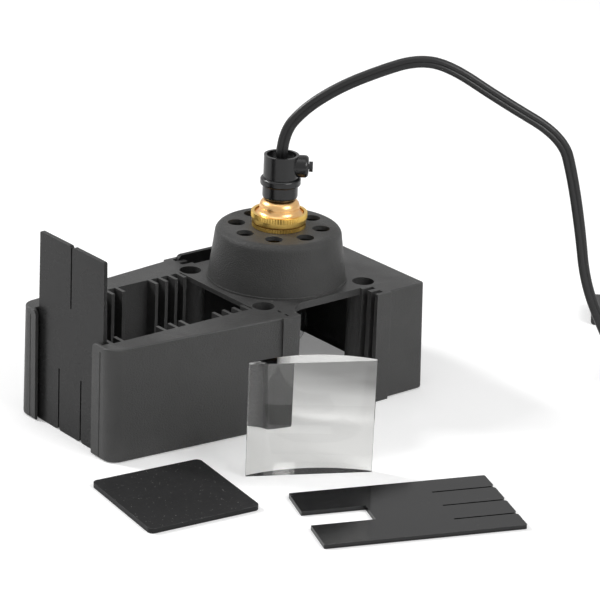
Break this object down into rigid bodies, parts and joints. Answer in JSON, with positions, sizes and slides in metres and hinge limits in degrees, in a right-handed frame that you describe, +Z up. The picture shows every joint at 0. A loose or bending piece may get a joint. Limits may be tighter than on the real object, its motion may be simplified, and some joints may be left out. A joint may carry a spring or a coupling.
{
  "type": "optics_ray_box",
  "caption": "Black moulded optics ray box with a vented lamp dome, brass lampholder, slit plates, square blanking plates, a cylindrical lens and a low-voltage lead with a twin plug",
  "frame": {"origin": "On the lamp's vertical axis at table level, the centre of the four corner sockets' rectangle.", "axes": "+Z is up, -X is the way the rays leave through the standing slit plate, and +Y is the side of the box with the fitted square plate."},
  "size_m": [0.4224, 0.2621, 0.1832],
  "materials": {
    "box_black": "satin black moulded plastic with a fine texture",
    "dome_black": "satin black moulded plastic with a fine texture",
    "holder_brass": "turned brass",
    "ring_brass": "knurled golden brass, satin",
    "cap_brass": "polished brass with a copper cast",
    "block_cream": "cream moulded insulator",
    "terminal_brass": "plain brass",
    "spring_steel": "bright spring wire",
    "grip_black": "semi-gloss black moulded plastic",
    "screw_dark": "blackened slotted screw",
    "clamp_fibre": "pressed fibre",
    "cord_black": "satin black twin cord with a groove between its cores",
    "bulb_clear": "clear blown glass",
    "filament_wire": "drawn wire",
    "lamp_cap": "pressed brass lamp cap",
    "lamp_vitrite": "black fused insulator",
    "lamp_solder": "dull solder",
    "plate_matte": "matte black sheet",
    "plate_gloss": "glossy black sheet",
    "square_matte": "matte black sheet with fine dust",
    "lens_clear": "polished clear acrylic",
    "plug_black": "satin black moulded plug",
    "pin_metal": "nickel-plated pins"
  },
  "bodies": {
    "box": {"body_shell": "box_black", "channel_ribs_near": "box_black", "channel_ribs_far": "box_black", "lamp_dome": "dome_black", "holder_barrel": "holder_brass", "holder_cap": "cap_brass", "contact_block": "block_cream", "terminal_screws": "terminal_brass", "plunger_spring_left": "spring_steel", "plunger_spring_right": "spring_steel", "grip_base": "grip_black", "grip_body": "grip_black", "cord_clamp": "clamp_fibre", "lead_inner": "cord_black", "lead": "cord_black", "lead_coil": "cord_black", "plug_body": "plug_black", "plug_pins": "pin_metal"},
    "bulb": {"bulb_glass": "bulb_clear", "bulb_stem": "bulb_clear", "bulb_filament": "filament_wire", "bulb_cap": "lamp_cap", "bulb_insulator": "lamp_vitrite", "bulb_contacts": "lamp_solder"},
    "standing_slit_plate": {"slit_plate": "plate_matte"},
    "fitted_plate": {"blanking_plate_fitted": "square_matte"},
    "loose_plate": {"blanking_plate_loose": "square_matte"},
    "lying_slit_plate": {"notched_slit_plate": "plate_gloss"},
    "lens": {"cylindrical_lens": "lens_clear"},
    "shade_ring_body": {"shade_ring": "ring_brass"},
    "union_ring_body": {"union_ring": "ring_brass"},
    "clamp_screw": {"grip_screw": "screw_dark"},
    "left_plunger": {"plunger_left": "terminal_brass"},
    "right_plunger": {"plunger_right": "terminal_brass"}
  },
  "joints": [
    {"name": "bulb_turn", "type": "hinge", "parent": "box", "child": "bulb", "pos_m": [0, 0, 0.0668], "axis": [0, 0, 1], "range_deg": [-25, 0]},
    {"name": "slit_plate_lift", "type": "slide", "parent": "box", "child": "standing_slit_plate", "axis": [0, 0, 1], "range_m": [0, 0.105]},
    {"name": "fitted_plate_lift", "type": "slide", "parent": "box", "child": "fitted_plate", "axis": [0, 0, 1], "range_m": [0, 0.065]},
    {"name": "loose_plate_lift", "type": "slide", "parent": "box", "child": "loose_plate", "axis": [0, 0, 1], "range_m": [0, 0.08]},
    {"name": "lying_plate_lift", "type": "slide", "parent": "box", "child": "lying_slit_plate", "axis": [0, 0, 1], "range_m": [0, 0.08]},
    {"name": "lens_lift", "type": "slide", "parent": "box", "child": "lens", "axis": [0, 0, 1], "range_m": [0, 0.08]},
    {"name": "shade_ring_turn", "type": "hinge", "parent": "box", "child": "shade_ring_body", "pos_m": [0, 0, 0.089], "axis": [0, 0, 1], "range_deg": [0, 720]},
    {"name": "union_ring_turn", "type": "hinge", "parent": "box", "child": "union_ring_body", "pos_m": [0, 0, 0.093], "axis": [0, 0, 1], "range_deg": [0, 720]},
    {"name": "clamp_screw_turn", "type": "hinge", "parent": "box", "child": "clamp_screw", "pos_m": [0, 0, 0.121], "axis": [0.766, -0.6428, 0], "range_deg": [0, 720]},
    {"name": "left_plunger_push", "type": "slide", "parent": "box", "child": "left_plunger", "axis": [0, 0, 1], "range_m": [0, 0.0015], "stiffness_N_per_m": 1200, "springref_m": -0.001, "deforming": ["plunger_spring_left"]},
    {"name": "right_plunger_push", "type": "slide", "parent": "box", "child": "right_plunger", "axis": [0, 0, 1], "range_m": [0, 0.0015], "stiffness_N_per_m": 1200, "springref_m": -0.001, "deforming": ["plunger_spring_right"]}
  ]
}
